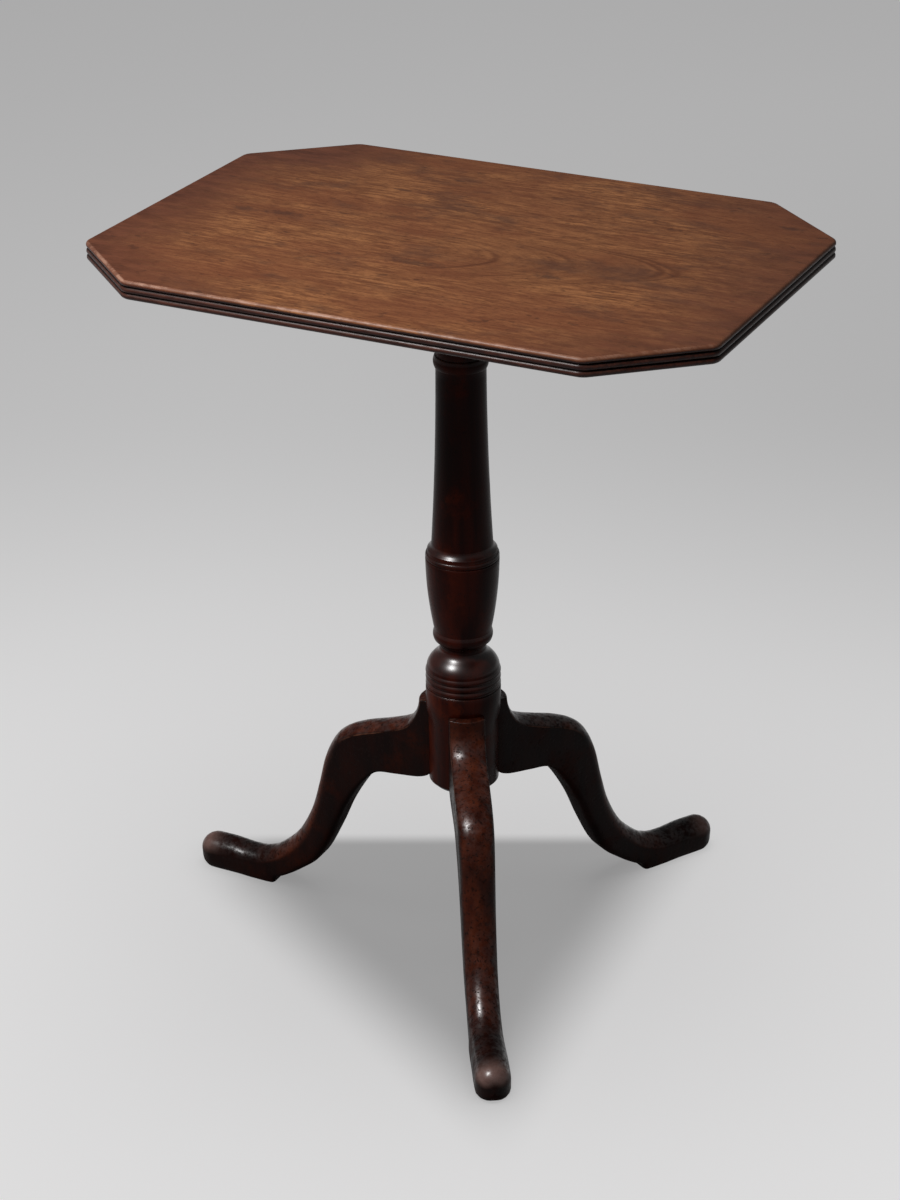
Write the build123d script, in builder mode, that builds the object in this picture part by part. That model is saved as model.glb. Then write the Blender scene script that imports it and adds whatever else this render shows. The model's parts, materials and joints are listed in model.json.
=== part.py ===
from build123d import *
import os
from math import atan2, cos, radians, sin

# Tilt top table: a canted, reeded top on two bearers that turn on the pivot block of a turned column,
# with three cabriole legs dovetailed into the column's foot. Millimetres, +Z up, floor at z = 0.
# The column stands on the Z axis, the top's long side lies along X, and the single rear leg along -X.

# Table top
table_height = 710.0
top_length = 600.0
top_width = 432.0
top_thickness = 17.0
cant_length = 86.0
cant_width = 75.0
reed_count = 3
reed_projection = 2.2
rim_depth = 2.0

# Pivot block, with its two dowels as the hinge
block_width = 140.0
block_thickness = 32.0
block_rear = 70.0
block_chamfer = 6.0
pivot_reach = 58.0
pivot_depth = 14.0
pivot_diameter = 16.0
dowel_setback = 1.0
swing_clearance = 0.3
nose_run = 5.0
running_clearance = 0.06
bearer_clearance = 0.5

# Bearers under the top
bearer_length = 490.0
bearer_width = 22.0
bearer_depth = 28.0
bearer_end_depth = 11.0
bearer_end_run = 66.0
bearer_screw_spread = 300.0
bearer_screw_bite = 10.0

# Wood screws
screw_clearance = 0.05
bearer_screw_shank = 4.8
bearer_screw_head = 9.2
catch_screw_shank = 3.2
catch_screw_head = 6.4
catch_screw_bite = 9.0
keeper_screw_length = 14.0

# Column, from its foot upwards
column_foot = 165.0
foot_rim = 5.0
leg_zone_radius = 33.4
leg_zone_height = 71.0
leg_zone_step = 10.0
base_radius = 35.7
base_height = 23.0
base_reed_height = 6.5
base_quirk = 0.9
bulb_height = 15.0
bulb_swell = 3.4
bulb_top_radius = 25.4
cove_height = 15.0
cove_hollow = 4.2
ring_radius = 28.3
ring_height = 10.5
ring_quirk = 1.3
vase_radius = 34.6
vase_height = 73.5
vase_swell = 1.75
collar_height = 5.4
collar_quirk = 0.9
fillet_inset = 0.9
fillet_height = 3.6
flare_height = 6.8
shaft_foot_radius = 28.7
shaft_hollow = 1.2
shaft_top_radius = 23.1
astragal_projection = 2.2
astragal_height = 11.5
astragal_quirk = 1.4
neck_inset = 0.6
neck_height = 58.0
seat_radius = 31.0
seat_height = 6.0
seat_flare = 16.0
tenon_diameter = 34.0
tenon_setback = 0.3
wedge_length = 28.0
wedge_depth = 24.0
wedge_thick_end = 3.4
wedge_thin_end = 1.4

# Legs: sections from the ear at the column to the toe
leg_angles = {"leg_left": 180.0, "leg_front": -58.8, "leg_right": 58.8}
ear_height = 250.0
ear_thickness = 8.3
ear_root = 14.0
leg_width = 34.0
ankle_width = 30.6
foot_width = 33.3
foot_height = 31.5
leg_reach = 299.0
leg_crown_rise = 6.0
crown_facets = 4
leg_edge = 2.0
foot_edge = 9.0
sole_trim = 4.0
toe_turns = (22.0, 44.0, 64.0, 82.0)

# Crown and under lines of a leg: reach from the column's axis and height, in pairs from the ear to the toe
ear_out = ((0.8, 242.0), (4.5, 232.5))
ear_heel = (226.0, 203.0)
thigh_crown = ((56.5, 222.0), (68.0, 215.5), (88.0, 208.3), (108.0, 201.5))
thigh_under = ((17.0, 180.0), (38.0, 166.0), (64.0, 162.5), (83.0, 160.0))
knee = (137.0, 184.5)
knee_hollow = (99.0, 148.5)
shin_crown = ((150.0, 158.0), (157.0, 127.0), (167.0, 93.0), (185.0, 61.0))
shin_under = ((112.0, 131.0), (126.0, 107.0), (140.0, 73.0), (157.0, 40.0))
ankle = (208.0, 39.0)
ankle_under = (178.0, 21.5)
foot_crown = ((226.0, 31.0), (245.0, 29.5), (265.0, 31.0))
heel_step = ((206.5, 5.6), (209.5, -2.0))
sole_reach = 249.0

# Dovetails of the legs
joint_gap = 0.05
tongue_neck = 11.0
tongue_tail = 17.0
tongue_depth = 13.0
tongue_height = 68.0
tongue_root = 8.0

# Brass catch under the rear of the top, and its keeper on the pivot block
keeper_width = 26.0
keeper_height = 22.0
keeper_thickness = 2.0
keeper_screw_spread = 14.0
keeper_screw_drop = 15.0
lip_width = 17.0
lip_reach = 6.0
lip_thickness = 2.0
lip_setdown = 0.5
bolt_travel = 7.0
bolt_clearance = 0.3
bolt_slide_gap = 0.15
nose_width = 10.0
nose_thickness = 5.0
nose_gap = 1.0
nose_bevel = 3.0
bolt_width = 16.0
bolt_length = 28.0
plate_thickness = 1.5
plate_margin = 2.0
case_wall = 1.6
case_setback = 5.0
flange_width = 9.0
spring_bow = 10.2
spring_thickness = 0.7
spring_height = 4.0
knob_stem = 4.0
knob_diameter = 10.0
knob_height = 9.0
knob_waist = 5.6
knob_neck = 4.0
knob_stem_rise = 4.0
knob_inset = 14.0
stem_slot_gap = 0.4

# Heights and places that follow from these
underside = table_height - top_thickness
block_foot = underside - block_thickness
pivot_height = underside - pivot_depth
nose_radius = pivot_depth - swing_clearance
bearer_inner = block_width / 2 + bearer_clearance
bearer_centre = bearer_inner + bearer_width / 2
bearer_foot = underside - bearer_depth
bearer_screw_spots = (-bearer_screw_spread / 2, bearer_screw_spread / 2)

lip_top = underside - lip_setdown
nose_top = lip_top - lip_thickness - bolt_clearance
nose_foot = nose_top - nose_thickness
nose_tip = -block_rear - nose_gap
case_front = -block_rear - lip_reach - case_setback
bolt_front = case_front - case_wall - bolt_clearance
bolt_rear = bolt_front - bolt_length
spring_seat = bolt_rear - bolt_clearance - spring_bow
case_rear = spring_seat - bolt_slide_gap - case_wall
plate_foot = underside - plate_thickness
case_half = bolt_width / 2 + bolt_slide_gap + case_wall
flange_half = case_half + flange_width
flange_foot = plate_foot - case_wall
case_floor = nose_foot - bolt_slide_gap
case_foot = case_floor - case_wall
knob_place = bolt_front - knob_inset
catch_screw_y = case_half + flange_width / 2
case_middle = (case_front + case_rear) / 2
catch_screw_spots = [(case_middle, -catch_screw_y), (case_middle, catch_screw_y)]

os.makedirs("parts", exist_ok=True)


# Column: one turning from foot to tenon, with three dovetail sockets cut up from its foot
leg_zone_top = column_foot + leg_zone_height
base_foot = leg_zone_top + leg_zone_step
reeds_foot = base_foot + base_height
bulb_foot = reeds_foot + reed_count * base_reed_height
cove_foot = bulb_foot + bulb_height
ring_foot = cove_foot + cove_height
ring_top = ring_foot + ring_height
vase_top = ring_top + vase_height
collar_top = vase_top + collar_height
fillet_top = collar_top + fillet_height
shaft_foot = fillet_top + flare_height
astragal_top = block_foot - neck_height
astragal_foot = astragal_top - astragal_height
seat_foot = block_foot - seat_height
tenon_top = underside - tenon_setback
tenon_radius = tenon_diameter / 2
quirk = base_radius - base_quirk
ring_in = ring_radius - ring_quirk
collar_in = vase_radius - collar_quirk
fillet_in = collar_in - fillet_inset
astragal_radius = shaft_top_radius + astragal_projection
astragal_in = astragal_radius - astragal_quirk
neck_radius = shaft_top_radius - neck_inset


def bowed(start, end, swell, runs=3):
    """Points after start, up to end, of a turned line that swells out, or in where swell is negative."""
    points = []
    for i in range(1, runs + 1):
        t = i / runs
        radius = start[0] + (end[0] - start[0]) * t + swell * 4 * t * (1 - t)
        points.append((radius, start[1] + (end[1] - start[1]) * t))
    return points


column_profile = [
    (0, tenon_top),
    (0, column_foot),
    (leg_zone_radius - foot_rim, column_foot),
    (leg_zone_radius, column_foot + foot_rim),
    (leg_zone_radius, leg_zone_top),
    (base_radius, base_foot),
    (base_radius, reeds_foot),
    (quirk, reeds_foot),
]
for i in range(reed_count):
    reed_foot = reeds_foot + i * base_reed_height
    column_profile += bowed((quirk, reed_foot), (quirk, reed_foot + base_reed_height), base_quirk)
column_profile += [
    *bowed((quirk, bulb_foot), (bulb_top_radius, cove_foot), bulb_swell),
    *bowed((bulb_top_radius, cove_foot), (ring_in, ring_foot), -cove_hollow),
    *bowed((ring_in, ring_foot), (ring_in, ring_top), ring_quirk),
    *bowed((ring_in, ring_top), (vase_radius, vase_top), vase_swell),
    (collar_in, vase_top),
    *bowed((collar_in, vase_top), (collar_in, collar_top), collar_quirk),
    (fillet_in, collar_top),
    (fillet_in, fillet_top),
    (shaft_foot_radius, shaft_foot),
    *bowed((shaft_foot_radius, shaft_foot), (shaft_top_radius, astragal_foot), -shaft_hollow, 2),
    (astragal_in, astragal_foot),
    *bowed((astragal_in, astragal_foot), (astragal_in, astragal_top), astragal_quirk),
    (neck_radius, astragal_top),
    (neck_radius, seat_foot - seat_flare),
    (seat_radius, seat_foot),
    (seat_radius, block_foot),
    (tenon_radius, block_foot),
    (tenon_radius, tenon_top),
]
with BuildPart() as column:
    with BuildSketch(Plane.XZ):
        with BuildLine():
            Polyline(*column_profile, close=True)
        make_face()
    revolve(axis=Axis.Z)
    for angle in leg_angles.values():
        with BuildSketch(Plane.XY.offset(column_foot).rotated((0, 0, angle))):
            with BuildLine():
                tail_half = tongue_tail / 2 + joint_gap
                neck_half = tongue_neck / 2 + joint_gap
                socket_floor = leg_zone_radius - tongue_depth - joint_gap
                socket_mouth = base_radius + base_quirk
                Polyline(
                    (socket_floor, -tail_half),
                    (leg_zone_radius, -neck_half),
                    (socket_mouth, -neck_half),
                    (socket_mouth, neck_half),
                    (leg_zone_radius, neck_half),
                    (socket_floor, tail_half),
                    close=True,
                )
            make_face()
        extrude(amount=tongue_height + joint_gap, mode=Mode.SUBTRACT)
    with BuildSketch(Plane.XZ):
        with BuildLine():
            Polyline(
                (-wedge_thick_end / 2 - joint_gap, tenon_top),
                (wedge_thick_end / 2 + joint_gap, tenon_top),
                (wedge_thin_end / 2 + joint_gap, tenon_top - wedge_depth - joint_gap),
                (-wedge_thin_end / 2 - joint_gap, tenon_top - wedge_depth - joint_gap),
                close=True,
            )
        make_face()
    extrude(amount=wedge_length / 2 + joint_gap, both=True, mode=Mode.SUBTRACT)
column.part.label = "column"
export_step(column.part, "parts/column.step")


# Tenon wedge: driven into the kerf of the column's tenon, flush with the tenon's end
with BuildPart() as tenon_wedge:
    with BuildSketch(Plane.XZ):
        with BuildLine():
            Polyline(
                (-wedge_thick_end / 2, tenon_top),
                (wedge_thick_end / 2, tenon_top),
                (wedge_thin_end / 2, tenon_top - wedge_depth),
                (-wedge_thin_end / 2, tenon_top - wedge_depth),
                close=True,
            )
        make_face()
    extrude(amount=wedge_length / 2, both=True)
tenon_wedge.part.label = "tenon_wedge"
export_step(tenon_wedge.part, "parts/tenon_wedge.step")


# Legs: each is lofted from the flat top of its ear, round the knee and down to the ball of the toe.
# A section runs from the crown line, on the leg's outer side, to the under line on its inner side.
ear_reach = base_radius + ear_thickness
toe_half = foot_width / 2
toe_centre = leg_reach - toe_half
leg_crown = [
    (ear_reach, ear_height),
    *[(ear_reach + out, height) for out, height in ear_out],
    *thigh_crown,
    knee,
    *shin_crown,
    ankle,
    *foot_crown,
    (toe_centre, foot_height),
]
leg_under = [
    (ear_root, ear_height),
    *[(ear_root, height) for height in ear_heel],
    *thigh_under,
    knee_hollow,
    *shin_under,
    ankle_under,
    *heel_step,
    (sole_reach, -sole_trim),
    (toe_centre, -sole_trim),
]
width_along = [
    (0, leg_width),
    (knee[0], leg_width),
    (ankle[0], ankle_width),
    (toe_centre, foot_width),
]
rise_along = [(0, leg_crown_rise), (knee[0], leg_crown_rise), (toe_centre, toe_half)]
edge_along = [(0, leg_edge), (ankle[0], leg_edge), (toe_centre, foot_edge)]
for turn in toe_turns:
    inset = toe_half * (1 - cos(radians(turn)))
    toe_reach = toe_centre + toe_half * sin(radians(turn))
    leg_crown.append((toe_reach, foot_height - inset))
    leg_under.append((toe_reach, -sole_trim))
    width_along.append((toe_reach, foot_width - 2 * inset))
    rise_along.append((toe_reach, toe_half - inset))
    edge_along.append((toe_reach, foot_edge * (1 - inset / toe_half)))


def along_leg(reach, stops):
    """The value at a reach from the column's axis, on straight lines between the stops."""
    for (start, low), (end, high) in zip(stops, stops[1:]):
        if reach <= end:
            return low + (high - low) * (reach - start) / (end - start)
    return stops[-1][1]


zone_wall = leg_zone_radius + joint_gap
base_wall = base_radius + joint_gap


def cabriole_leg():
    """One leg along +X: a loft through its sections, cut to the column's drum, with its dovetail tongue."""
    with BuildPart() as shape:
        for (crown_reach, crown_z), (under_reach, under_z) in zip(leg_crown, leg_under):
            upward = Vector(crown_reach - under_reach, 0, crown_z - under_z)
            depth = upward.length
            half = along_leg(crown_reach, width_along) / 2
            rise = along_leg(crown_reach, rise_along)
            edge = along_leg(crown_reach, edge_along)
            crown_radius = (half**2 + rise**2) / (2 * rise)
            crown_turn = 2 * atan2(rise, half)
            crown_turns = [crown_turn * (1 - 2 * i / crown_facets) for i in range(crown_facets + 1)]
            sideways = Vector(0, 1, 0)
            with BuildSketch(Plane((under_reach, 0, under_z), x_dir=sideways, z_dir=sideways.cross(upward))):
                with BuildLine():
                    Polyline(
                        (-half, edge),
                        (edge - half, 0),
                        (half - edge, 0),
                        (half, edge),
                        *[(crown_radius * sin(t), depth - crown_radius * (1 - cos(t))) for t in crown_turns],
                        close=True,
                    )
                make_face()
        loft(ruled=True)
        split(bisect_by=Plane.XY, keep=Keep.TOP)
        with BuildSketch(Plane.XZ):
            with BuildLine():
                Polyline(
                    (0, table_height),
                    (0, 0),
                    (zone_wall, 0),
                    (zone_wall, leg_zone_top),
                    (base_wall, base_foot),
                    (base_wall, table_height),
                    close=True,
                )
            make_face()
        revolve(axis=Axis.Z, mode=Mode.SUBTRACT)
        with BuildSketch(Plane.XY.offset(column_foot + foot_rim)):
            with BuildLine():
                Polyline(
                    (leg_zone_radius - tongue_depth, -tongue_tail / 2),
                    (leg_zone_radius, -tongue_neck / 2),
                    (leg_zone_radius + tongue_root, -tongue_neck / 2),
                    (leg_zone_radius + tongue_root, tongue_neck / 2),
                    (leg_zone_radius, tongue_neck / 2),
                    (leg_zone_radius - tongue_depth, tongue_tail / 2),
                    close=True,
                )
            make_face()
        extrude(amount=tongue_height - foot_rim)
    return shape.part


for leg_name, leg_angle in leg_angles.items():
    with BuildPart() as leg:
        add(cabriole_leg(), rotation=(0, 0, leg_angle))
    leg.part.label = leg_name
    export_step(leg.part, f"parts/{leg_name}.step")


# Pivot block: seats on the column's shoulder round the tenon, with a rounded nose and two round dowels
keeper_foot = lip_top - keeper_height
keeper_screw_z = lip_top - keeper_screw_drop
keeper_screw_spots = [(y, keeper_screw_z) for y in (-keeper_screw_spread / 2, keeper_screw_spread / 2)]
with BuildPart() as pivot_block:
    with BuildSketch(Plane.XZ):
        with BuildLine():
            Polyline(
                (pivot_reach + nose_radius, pivot_height),
                (pivot_reach + nose_radius, block_foot),
                (-block_rear, block_foot),
                (-block_rear, underside),
                (pivot_reach - nose_run, underside),
                (pivot_reach, pivot_height + nose_radius),
            )
            RadiusArc(
                (pivot_reach, pivot_height + nose_radius),
                (pivot_reach + nose_radius, pivot_height),
                nose_radius,
            )
        make_face()
    extrude(amount=block_width / 2, both=True)
    chamfer(pivot_block.faces().sort_by(Axis.Z)[0].edges(), block_chamfer)
    with BuildSketch(Plane.XZ):
        with Locations((pivot_reach, pivot_height)):
            Circle(pivot_diameter / 2)
    extrude(amount=bearer_inner + bearer_width - dowel_setback, both=True)
    with BuildSketch(Plane.XY.offset(block_foot)):
        Circle(tenon_radius + joint_gap)
    extrude(amount=block_thickness, mode=Mode.SUBTRACT)
    with BuildSketch(Plane.YZ.offset(-block_rear)):
        with Locations((0, (underside + keeper_foot - joint_gap) / 2)):
            Rectangle(keeper_width + 2 * joint_gap, underside - keeper_foot + joint_gap)
    extrude(amount=keeper_thickness + joint_gap, mode=Mode.SUBTRACT)
    with BuildSketch(Plane.YZ.offset(-block_rear)):
        with Locations(keeper_screw_spots):
            Circle(catch_screw_shank / 2 + screw_clearance)
    extrude(amount=keeper_screw_length + joint_gap, mode=Mode.SUBTRACT)
pivot_block.part.label = "pivot_block"
export_step(pivot_block.part, "parts/pivot_block.step")


# Catch keeper: a brass plate let into the block's rear end, with a lip that the bolt's nose snaps under
with BuildPart() as catch_keeper:
    with BuildSketch(Plane.YZ.offset(-block_rear)):
        with Locations((0, lip_top - keeper_height / 2)):
            Rectangle(keeper_width, keeper_height)
    extrude(amount=keeper_thickness)
    with BuildSketch(Plane.XY.offset(lip_top - lip_thickness)):
        with Locations((-block_rear - lip_reach / 2 + keeper_thickness / 2, 0)):
            Rectangle(lip_reach + keeper_thickness, lip_width)
    extrude(amount=lip_thickness)
    with Locations(*[Plane((-block_rear, y, z), z_dir=(-1, 0, 0)) for y, z in keeper_screw_spots]):
        CounterSinkHole(
            catch_screw_shank / 2 + screw_clearance,
            catch_screw_head / 2 + screw_clearance,
            counter_sink_angle=90,
        )
catch_keeper.part.label = "catch_keeper"
export_step(catch_keeper.part, "parts/catch_keeper.step")


def countersunk_screw(shank, head, length):
    """A countersunk wood screw with its head's face at the origin, running down the Z axis."""
    with BuildPart() as screw:
        with BuildSketch(Plane.XZ):
            with BuildLine():
                Polyline(
                    (0, 0),
                    (head / 2, 0),
                    (shank / 2, (shank - head) / 2),
                    (shank / 2, -length),
                    (0, -length),
                    close=True,
                )
            make_face()
        revolve(axis=Axis.Z)
    return screw.part


# Keeper screws: two, through the keeper into the block's end grain
with BuildPart() as keeper_screws:
    with Locations(*[Plane((-block_rear, y, z), z_dir=(-1, 0, 0)) for y, z in keeper_screw_spots]):
        add(countersunk_screw(catch_screw_shank, catch_screw_head, keeper_screw_length))
keeper_screws.part.label = "keeper_screws"
export_step(keeper_screws.part, "parts/keeper_screws.step")


# Table top: one board with canted corners, its edge worked as a stack of reeds
reed_height = top_thickness / reed_count
half_length = top_length / 2 - reed_projection
half_width = top_width / 2 - reed_projection
with BuildSketch(Plane.XY.offset(underside)) as board:
    with BuildLine():
        Polyline(
            (half_length, half_width - cant_width),
            (half_length - cant_length, half_width),
            (cant_length - half_length, half_width),
            (-half_length, half_width - cant_width),
            (-half_length, cant_width - half_width),
            (cant_length - half_length, -half_width),
            (half_length - cant_length, -half_width),
            (half_length, cant_width - half_width),
            close=True,
        )
    make_face()
rim_start = Plane((0, half_width, underside), x_dir=(0, 1, 0), z_dir=(1, 0, 0))
bearer_screw_points = [(x, y) for x in bearer_screw_spots for y in (-bearer_centre, bearer_centre)]
with BuildPart() as table_top:
    add(board.sketch)
    extrude(amount=top_thickness)
    with BuildSketch(rim_start):
        with BuildLine():
            for i in range(reed_count):
                SagittaArc((0, i * reed_height), (0, (i + 1) * reed_height), -reed_projection)
            Polyline((0, 0), (-rim_depth, 0), (-rim_depth, top_thickness), (0, top_thickness))
        make_face()
    sweep(path=board.face().outer_wire(), transition=Transition.RIGHT)
    with BuildSketch(Plane.XY.offset(underside)):
        with Locations(bearer_screw_points):
            Circle(bearer_screw_shank / 2 + screw_clearance)
    extrude(amount=bearer_screw_bite + joint_gap, mode=Mode.SUBTRACT)
    with BuildSketch(Plane.XY.offset(underside)):
        with Locations(catch_screw_spots):
            Circle(catch_screw_shank / 2 + screw_clearance)
    extrude(amount=catch_screw_bite + joint_gap, mode=Mode.SUBTRACT)
table_top.part.label = "table_top"
export_step(table_top.part, "parts/table_top.step")


# Bearers: screwed up into the top on each side of the block, bored for its dowels, with swept-up ends
bearer_half = bearer_length / 2
bearer_end_foot = underside - bearer_end_depth
bearer_flat = bearer_half - bearer_end_run
for bearer_name, side in {"bearer_front": -1, "bearer_back": 1}.items():
    bearer_plane = Plane.XZ.offset(-side * bearer_centre)
    with BuildPart() as bearer:
        with BuildSketch(bearer_plane):
            with BuildLine():
                Polyline((bearer_half, bearer_end_foot), (bearer_half, underside), (0, underside))
                Spline(
                    (bearer_half, bearer_end_foot), (bearer_flat, bearer_foot), tangents=[(-1, -0.6), (-1, 0)]
                )
                Line((bearer_flat, bearer_foot), (0, bearer_foot))
                mirror(about=Plane.YZ)
            make_face()
        extrude(amount=bearer_width / 2, both=True)
        with BuildSketch(bearer_plane):
            with Locations((pivot_reach, pivot_height)):
                Circle(pivot_diameter / 2 + running_clearance)
        extrude(amount=bearer_width / 2, both=True, mode=Mode.SUBTRACT)
        with Locations(
            *[Plane((x, side * bearer_centre, bearer_foot), z_dir=(0, 0, -1)) for x in bearer_screw_spots]
        ):
            CounterSinkHole(
                bearer_screw_shank / 2 + screw_clearance,
                bearer_screw_head / 2 + screw_clearance,
                counter_sink_angle=90,
            )
    bearer.part.label = bearer_name
    export_step(bearer.part, f"parts/{bearer_name}.step")


# Bearer screws: two in each bearer, from below into the top
bearer_screw_length = bearer_depth + bearer_screw_bite
with BuildPart() as bearer_screws:
    with Locations(*[Plane((x, y, bearer_foot), z_dir=(0, 0, -1)) for x, y in bearer_screw_points]):
        add(countersunk_screw(bearer_screw_shank, bearer_screw_head, bearer_screw_length))
bearer_screws.part.label = "bearer_screws"
export_step(bearer_screws.part, "parts/bearer_screws.step")


# Catch plate: the flat brass back of the catch, against the underside of the top
with BuildPart() as catch_plate:
    with BuildSketch(Plane.XY.offset(plate_foot)):
        with Locations(((case_front + case_rear) / 2, 0)):
            Rectangle(case_front - case_rear + 2 * plate_margin, 2 * (flange_half + plate_margin))
        with Locations(catch_screw_spots):
            Circle(catch_screw_shank / 2 + screw_clearance, mode=Mode.SUBTRACT)
    extrude(amount=plate_thickness)
catch_plate.part.label = "catch_plate"
export_step(catch_plate.part, "parts/catch_plate.step")


# Catch case: a brass box with a screw flange on each side, open at the front for the bolt's nose
case_length = case_front - case_rear
with BuildPart() as catch_case:
    with BuildSketch(Plane.XY.offset(case_foot)):
        with Locations((case_middle, 0)):
            Rectangle(case_length, 2 * case_half)
    extrude(amount=plate_foot - case_foot)
    with BuildSketch(Plane.XY.offset(flange_foot)):
        with Locations((case_middle, 0)):
            Rectangle(case_length, 2 * flange_half)
    extrude(amount=case_wall)
    with BuildSketch(Plane.XY.offset(case_floor)):
        with Locations((case_middle, 0)):
            Rectangle(case_length - 2 * case_wall, 2 * (case_half - case_wall))
    extrude(amount=plate_foot - case_floor, mode=Mode.SUBTRACT)
    with BuildSketch(Plane.XY.offset(case_floor)):
        with Locations((case_front - case_wall, 0)):
            Rectangle(4 * case_wall, nose_width + 2 * bolt_slide_gap)
    extrude(amount=nose_thickness + 2 * bolt_slide_gap, mode=Mode.SUBTRACT)
    with BuildSketch(Plane.XY.offset(case_foot)):
        with Locations((knob_place - bolt_travel / 2, 0)):
            SlotCenterToCenter(bolt_travel, knob_stem + 2 * stem_slot_gap)
    extrude(amount=case_wall, mode=Mode.SUBTRACT)
    with Locations(*[Plane((x, y, flange_foot), z_dir=(0, 0, -1)) for x, y in catch_screw_spots]):
        CounterSinkHole(
            catch_screw_shank / 2 + screw_clearance,
            catch_screw_head / 2 + screw_clearance,
            counter_sink_angle=90,
        )
catch_case.part.label = "catch_case"
export_step(catch_case.part, "parts/catch_case.step")


# Catch screws: two, through the flanges and the plate into the top
catch_screw_length = case_wall + plate_thickness + catch_screw_bite
with BuildPart() as catch_screws:
    with Locations(*[Plane((x, y, flange_foot), z_dir=(0, 0, -1)) for x, y in catch_screw_spots]):
        add(countersunk_screw(catch_screw_shank, catch_screw_head, catch_screw_length))
catch_screws.part.label = "catch_screws"
export_step(catch_screws.part, "parts/catch_screws.step")


# Catch spring: a bowed leaf of steel between the case's rear wall and the tail of the bolt
spring_half = bolt_width / 2 - spring_thickness
with BuildPart() as catch_spring:
    with BuildSketch(Plane.XY.offset((nose_foot + plate_foot - spring_height) / 2)):
        with BuildLine():
            ThreePointArc(
                (spring_seat, -spring_half), (spring_seat + spring_bow, 0), (spring_seat, spring_half)
            )
            Line((spring_seat, spring_half), (spring_seat, spring_half - spring_thickness))
            ThreePointArc(
                (spring_seat, spring_half - spring_thickness),
                (spring_seat + spring_bow - spring_thickness, 0),
                (spring_seat, spring_thickness - spring_half),
            )
            Line((spring_seat, spring_thickness - spring_half), (spring_seat, -spring_half))
        make_face()
    extrude(amount=spring_height)
catch_spring.part.label = "catch_spring"
export_step(catch_spring.part, "parts/catch_spring.step")


# Catch bolt: a brass slide with a narrower nose, bevelled below so that it snaps past the keeper's lip
bolt_top = plate_foot - bolt_slide_gap
with BuildPart() as catch_bolt:
    with BuildSketch(Plane.XY.offset(nose_foot)):
        with Locations(((bolt_front + bolt_rear) / 2, 0)):
            Rectangle(bolt_length, bolt_width)
    extrude(amount=bolt_top - nose_foot)
    with BuildSketch(Plane.XY.offset(nose_foot)):
        with Locations(((nose_tip + bolt_rear) / 2, 0)):
            Rectangle(nose_tip - bolt_rear, nose_width)
    extrude(amount=nose_thickness)
    chamfer(edges().filter_by(Axis.Y).sort_by(Axis.Z)[0:2].sort_by(Axis.X)[-1], nose_bevel)
    with BuildSketch(Plane.XY.offset(nose_foot)):
        with Locations((knob_place, 0)):
            Circle(knob_stem / 2 + screw_clearance)
    extrude(amount=knob_stem_rise + screw_clearance, mode=Mode.SUBTRACT)
catch_bolt.part.label = "catch_bolt"
export_step(catch_bolt.part, "parts/catch_bolt.step")


# Catch knob: a turned brass pull on a stem that is screwed up into the bolt
knob_top = case_foot - bolt_clearance
with BuildPart() as catch_knob:
    with BuildSketch(Plane((knob_place, 0, 0), x_dir=(1, 0, 0), z_dir=(0, -1, 0))):
        with BuildLine():
            Polyline(
                (0, nose_foot + knob_stem_rise),
                (knob_stem / 2, nose_foot + knob_stem_rise),
                (knob_stem / 2, knob_top),
                (knob_waist / 2, knob_top),
                (knob_waist / 2, knob_top - knob_neck),
                (knob_diameter / 2, knob_top - knob_neck),
                (knob_diameter / 2, knob_top - knob_height),
                (0, knob_top - knob_height),
                close=True,
            )
        make_face()
    revolve(axis=Axis((knob_place, 0, 0), (0, 0, 1)))
catch_knob.part.label = "catch_knob"
export_step(catch_knob.part, "parts/catch_knob.step")
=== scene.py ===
import bpy
import json
from math import atan2, cos, pi, radians, sin, sqrt
from mathutils import Matrix, Vector

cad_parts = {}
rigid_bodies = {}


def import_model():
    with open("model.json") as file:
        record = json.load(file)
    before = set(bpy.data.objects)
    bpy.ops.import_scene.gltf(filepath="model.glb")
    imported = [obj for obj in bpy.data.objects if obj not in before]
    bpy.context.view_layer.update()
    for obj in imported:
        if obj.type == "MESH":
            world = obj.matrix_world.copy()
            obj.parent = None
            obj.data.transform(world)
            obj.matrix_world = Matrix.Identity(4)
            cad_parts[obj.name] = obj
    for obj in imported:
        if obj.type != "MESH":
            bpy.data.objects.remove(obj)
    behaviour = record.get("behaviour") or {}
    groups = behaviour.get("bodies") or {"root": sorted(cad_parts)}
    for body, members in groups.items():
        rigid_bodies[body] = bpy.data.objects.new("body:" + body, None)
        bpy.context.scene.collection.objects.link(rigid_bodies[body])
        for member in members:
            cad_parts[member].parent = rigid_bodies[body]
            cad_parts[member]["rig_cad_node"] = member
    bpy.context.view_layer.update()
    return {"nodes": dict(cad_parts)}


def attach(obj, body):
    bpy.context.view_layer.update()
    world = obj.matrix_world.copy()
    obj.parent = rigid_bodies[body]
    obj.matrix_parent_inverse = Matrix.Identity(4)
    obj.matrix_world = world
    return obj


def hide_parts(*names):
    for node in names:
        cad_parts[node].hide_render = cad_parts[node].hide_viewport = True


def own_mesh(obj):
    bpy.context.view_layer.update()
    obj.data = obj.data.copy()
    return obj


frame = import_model()


# Column: one length of mahogany turned between centres, from the drum that takes the legs to the tenon
# that carries the pivot block. The mouldings are cut with gouge and skew, then stained dark and polished.
mm = 0.001
turning_steps = 96
turning_weld = 0.01
column_easing = 0.35
drum_profile = [(0, 165), (28.4, 165), (33.4, 170), (33.4, 236), (35.7, 246), (35.7, 268.6), (34.5, 269)]

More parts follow.
